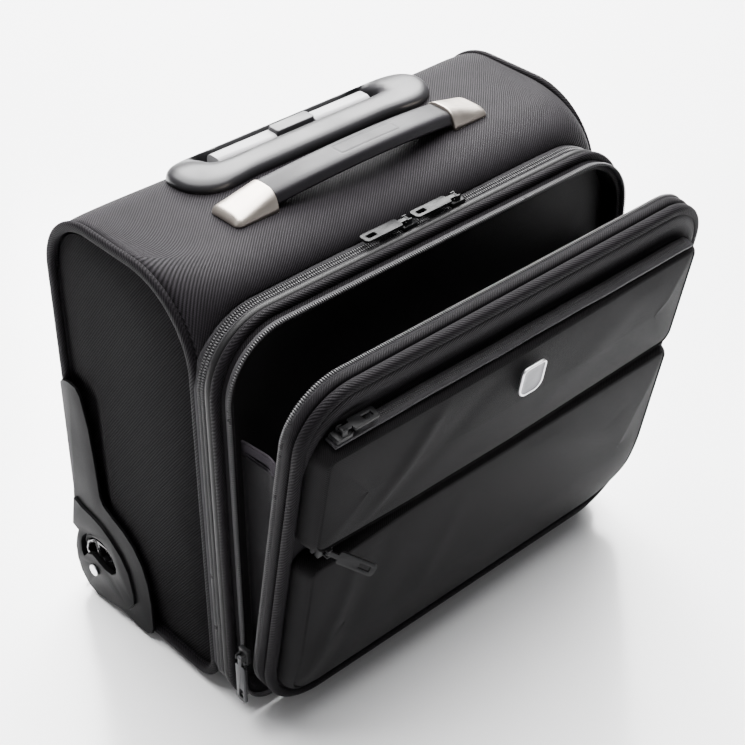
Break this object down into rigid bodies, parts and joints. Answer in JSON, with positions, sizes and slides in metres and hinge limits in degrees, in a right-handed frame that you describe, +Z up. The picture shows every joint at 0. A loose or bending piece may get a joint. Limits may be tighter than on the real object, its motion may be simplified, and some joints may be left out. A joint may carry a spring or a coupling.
{
  "type": "rolling pilot flight case",
  "caption": "Soft-sided cabin-size pilot case on corner wheels, with a pull handle, a carry handle, a zipped lid and a front compartment standing open.",
  "frame": {"origin": "centre of the case on the floor it stands on", "axes": "+X across the width to the right as seen from the front, +Y to the back, +Z up; the front of the case faces -Y"},
  "size_m": [0.4497, 0.3332, 0.419],
  "materials": {
    "twill_fabric": "coarse black twill over foam",
    "pocket_fabric": "fine black woven nylon",
    "lining_fabric": "thin dark lining",
    "zip_coil": "black nylon coil zip on woven tape",
    "housing_plastic": "dark grey moulded, fine grain",
    "tray_plastic": "mid grey moulded, soft satin",
    "grip_plastic": "light grey moulded, satin",
    "button_plastic": "dark grey moulded",
    "handle_rubber": "dark grey soft rubber",
    "satin_nickel": "satin nickel plated cap",
    "tube_aluminium": "drawn and anodised",
    "steel": "zinc plated",
    "frame_board": "black polypropylene",
    "wheel_tyre": "black polyurethane",
    "hub_plastic": "black moulded spokes",
    "slider_metal": "black painted zinc",
    "badge_metal": "plain satin plate"
  },
  "bodies": {
    "case": {"left_side_panel": "twill_fabric", "right_side_panel": "twill_fabric", "left_side_piping": "twill_fabric", "right_side_piping": "twill_fabric", "top_panel": "twill_fabric", "back_panel": "twill_fabric", "base_panel": "twill_fabric", "frame_hoop": "frame_board", "main_zip_body_half": "zip_coil", "left_wheel_housing": "housing_plastic", "right_wheel_housing": "housing_plastic", "left_axle": "steel", "right_axle": "steel", "left_foot": "handle_rubber", "right_foot": "handle_rubber", "trolley_tray": "tray_plastic", "left_outer_tube": "tube_aluminium", "right_outer_tube": "tube_aluminium", "tube_foot_bracket": "frame_board", "back_lining_panel": "lining_fabric", "carry_handle_grip": "handle_rubber", "carry_handle_strap": "steel", "left_carry_handle_cap": "satin_nickel", "right_carry_handle_cap": "satin_nickel"},
    "lid": {"main_zip_lid_half": "zip_coil", "lid_band": "twill_fabric", "lid_piping": "twill_fabric", "front_zip_lid_half": "zip_coil", "lid_divider": "lining_fabric", "left_gusset": "lining_fabric", "right_gusset": "lining_fabric"},
    "front_panel": {"front_zip_panel_half": "zip_coil", "panel_band": "twill_fabric", "panel_board": "pocket_fabric", "panel_piping": "twill_fabric", "lower_pocket": "pocket_fabric", "upper_pocket": "pocket_fabric", "lower_pocket_zip": "zip_coil", "upper_pocket_zip": "zip_coil", "badge_plate": "badge_metal"},
    "trolley_middle": {"left_middle_tube": "tube_aluminium", "right_middle_tube": "tube_aluminium"},
    "trolley_inner": {"left_inner_tube": "tube_aluminium", "right_inner_tube": "tube_aluminium", "trolley_grip": "grip_plastic"},
    "push_button": {"grip_button": "button_plastic"},
    "left_wheel": {"left_tyre": "wheel_tyre", "left_hub": "hub_plastic"},
    "right_wheel": {"right_tyre": "wheel_tyre", "right_hub": "hub_plastic"},
    "main_left_slider_body": {"main_left_slider": "slider_metal"},
    "main_left_tab_body": {"main_left_tab": "slider_metal"},
    "main_right_slider_body": {"main_right_slider": "slider_metal"},
    "main_right_tab_body": {"main_right_tab": "slider_metal"},
    "front_zip_slider_body": {"front_zip_slider": "slider_metal"},
    "front_zip_tab_body": {"front_zip_tab": "slider_metal"},
    "upper_pocket_slider_body": {"upper_pocket_slider": "slider_metal"},
    "upper_pocket_tab_body": {"upper_pocket_tab": "slider_metal"},
    "lower_pocket_slider_body": {"lower_pocket_slider": "slider_metal"},
    "lower_pocket_tab_body": {"lower_pocket_tab": "slider_metal"}
  },
  "joints": [
    {"name": "lid_hinge", "type": "hinge", "parent": "case", "child": "lid", "pos_m": [0, -0.0343, 0.009], "axis": [1, 0, 0], "range_deg": [0, 75]},
    {"name": "front_panel_hinge", "type": "hinge", "parent": "lid", "child": "front_panel", "pos_m": [0, -0.0663, 0.011], "axis": [1, 0, 0], "range_deg": [-10, 0], "deforming": ["left_gusset", "right_gusset"]},
    {"name": "trolley_lower_slide", "type": "slide", "parent": "case", "child": "trolley_middle", "axis": [0, 0, 1], "range_m": [0, 0.3]},
    {"name": "trolley_upper_slide", "type": "slide", "parent": "trolley_middle", "child": "trolley_inner", "axis": [0, 0, 1], "range_m": [0, 0.3]},
    {"name": "grip_button_press", "type": "slide", "parent": "trolley_inner", "child": "push_button", "axis": [0, 0, -1], "range_m": [0, 0.003], "stiffness_N_per_m": 600, "springref_m": -0.002},
    {"name": "left_wheel_spin", "type": "hinge", "parent": "case", "child": "left_wheel", "pos_m": [-0.203, 0.1327, 0.034], "axis": [1, 0, 0], "continuous": true},
    {"name": "right_wheel_spin", "type": "hinge", "parent": "case", "child": "right_wheel", "pos_m": [0.203, 0.1327, 0.034], "axis": [1, 0, 0], "continuous": true},
    {"name": "main_left_zip_slide", "type": "slide", "parent": "case", "child": "main_left_slider_body", "axis": [-1, 0, 0], "range_m": [0, 0.13]},
    {"name": "main_left_tab_hinge", "type": "hinge", "parent": "main_left_slider_body", "child": "main_left_tab_body", "pos_m": [-0.012, -0.0343, 0.3784], "axis": [0, 1, 0], "range_deg": [0, 160]},
    {"name": "main_right_zip_slide", "type": "slide", "parent": "case", "child": "main_right_slider_body", "axis": [1, 0, 0], "range_m": [0, 0.1]},
    {"name": "main_right_tab_hinge", "type": "hinge", "parent": "main_right_slider_body", "child": "main_right_tab_body", "pos_m": [0.04, -0.0343, 0.3784], "axis": [0, 1, 0], "range_deg": [0, 160]},
    {"name": "front_zip_zip_slide", "type": "slide", "parent": "lid", "child": "front_zip_slider_body", "axis": [0, 0, 1], "range_m": [-0.03, 0.2]},
    {"name": "front_zip_tab_hinge", "type": "hinge", "parent": "front_zip_slider_body", "child": "front_zip_tab_body", "pos_m": [-0.2234, -0.0723, 0.081], "axis": [0, 1, 0], "range_deg": [0, 150]},
    {"name": "upper_pocket_zip_slide", "type": "slide", "parent": "front_panel", "child": "upper_pocket_slider_body", "axis": [1, 0, 0], "range_m": [0, 0.34]},
    {"name": "upper_pocket_tab_hinge", "type": "hinge", "parent": "upper_pocket_slider_body", "child": "upper_pocket_tab_body", "pos_m": [-0.184, -0.15166, 0.33388], "axis": [0, 0.9848, 0.1736], "range_deg": [-170, 0]},
    {"name": "lower_pocket_zip_slide", "type": "slide", "parent": "front_panel", "child": "lower_pocket_slider_body", "axis": [1, 0, 0], "range_m": [0, 0.35]},
    {"name": "lower_pocket_tab_hinge", "type": "hinge", "parent": "lower_pocket_slider_body", "child": "lower_pocket_tab_body", "pos_m": [-0.188, -0.1397, 0.21536], "axis": [0, -0.1736, 0.9848], "range_deg": [-120, 40]}
  ]
}
